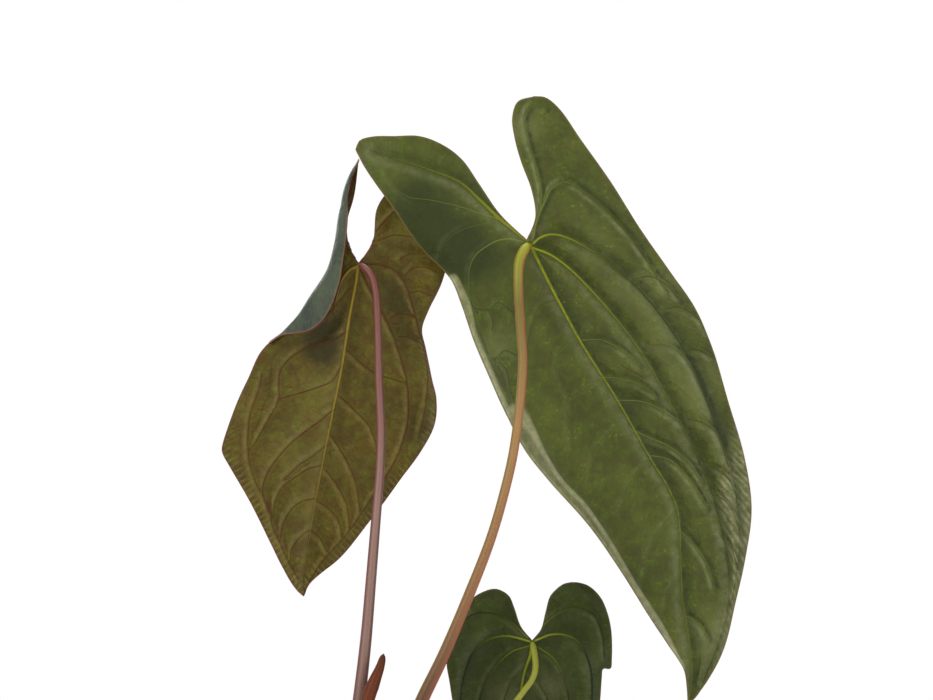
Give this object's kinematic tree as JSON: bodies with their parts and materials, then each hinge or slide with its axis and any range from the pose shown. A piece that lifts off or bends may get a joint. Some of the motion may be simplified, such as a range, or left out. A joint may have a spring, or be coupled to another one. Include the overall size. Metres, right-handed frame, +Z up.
{
  "type": "potted anthurium plant",
  "caption": "Upright potted aroid with long-stalked heart-shaped leaves seen from behind, a new shoot and a short rooted stem in a plain tapered nursery pot.",
  "frame": {"origin": "middle of the pot's flat underside", "axes": "+Z up along the pot's axis, +X to the right and +Y away from the viewer when the leaves are seen from behind, as pictured"},
  "size_m": [0.2446, 0.1288, 0.4745],
  "materials": {
    "pot_plastic": "plain dark grey moulded nursery pot, fine satin sheen",
    "bark_mix": "coarse chunky bark and fibre mix, dry and matt",
    "stem_skin": "greenish-brown stem with leaf scars and corky roots",
    "shoot_skin": "smooth reddish-brown sheath with a soft shine",
    "large_blade": "satin olive-green underside with yellow-green raised veins, velvety dark green face",
    "tan_stalk": "smooth tan stalk, redder towards its foot",
    "young_blade": "olive-brown underside with dark red veins, blue-green velvety face",
    "mauve_stalk": "smooth mauve stalk with darker edges",
    "small_blade": "dark green satin underside with yellow-green veins",
    "green_stalk": "smooth yellow-green stalk"
  },
  "bodies": {
    "root": {"pot": "pot_plastic", "potting_mix": "bark_mix", "stem": "stem_skin", "new_shoot": "shoot_skin", "leaf_large_blade": "large_blade", "leaf_large_stalk": "tan_stalk", "leaf_left_blade": "young_blade", "leaf_left_stalk": "mauve_stalk", "leaf_small_blade": "small_blade", "leaf_small_stalk": "green_stalk"}
  },
  "joints": []
}
